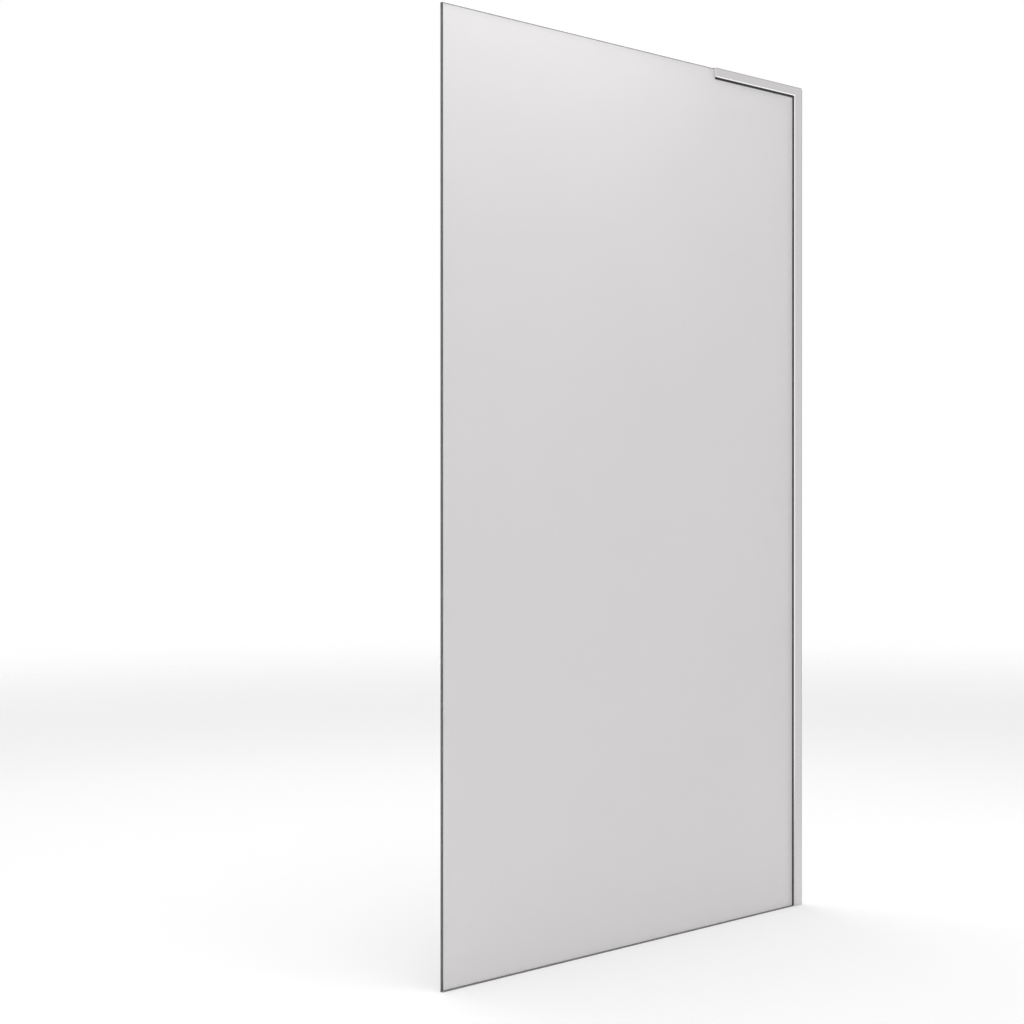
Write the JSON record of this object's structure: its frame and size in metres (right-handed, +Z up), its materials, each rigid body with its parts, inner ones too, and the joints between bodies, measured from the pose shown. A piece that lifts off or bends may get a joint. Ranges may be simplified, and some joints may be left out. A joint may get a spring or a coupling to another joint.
{
  "type": "walk-in shower screen",
  "caption": "Fixed satin glass shower panel in an L-shaped slim bright frame that slides over a wall channel to set its width and is clamped there.",
  "frame": {"origin": "on the wall face of the wall channel, at the floor, in the middle of the glass's thickness", "axes": "+Z up; +X out of the wall channel into the wall, so the free edge is at -X; +Y across the glass towards the shower side"},
  "size_m": [1.196, 0.019, 2],
  "materials": {
    "satin_glass": "satin faces, polished edges",
    "bright_aluminium": "polished and bright anodised",
    "anodised_aluminium": "satin anodised",
    "silver_plastic": "moulded, silver",
    "black_rubber": "extruded, matt",
    "grey_seal": "extruded, satin",
    "clear_seal": "extruded silicone, milky",
    "packing_plastic": "moulded, matt",
    "stainless_steel": "turned, bare",
    "cast_zinc": "cast, bare"
  },
  "bodies": {
    "wall_side": {"wall_channel": "anodised_aluminium", "wall_channel_cap": "silver_plastic"},
    "screen": {"upright_profile": "bright_aluminium", "arm_profile": "bright_aluminium", "corner_cleat": "cast_zinc", "upright_cleat_screws": "stainless_steel", "arm_cleat_screws": "stainless_steel", "glass_panel": "satin_glass", "upright_gasket_front": "black_rubber", "upright_gasket_rear": "clear_seal", "arm_gasket_front": "black_rubber", "arm_gasket_rear": "clear_seal", "upright_packers": "packing_plastic", "arm_packers": "packing_plastic", "setting_blocks": "packing_plastic", "bottom_seal": "grey_seal", "upright_foot_cap": "silver_plastic", "arm_end_cap": "silver_plastic", "clamp_screws": "stainless_steel", "clamp_washers": "stainless_steel", "nut_plates": "stainless_steel"}
  },
  "joints": [
    {"name": "width_adjust", "type": "slide", "parent": "wall_side", "child": "screen", "axis": [1, 0, 0], "range_m": [-0.004, 0.004]}
  ]
}
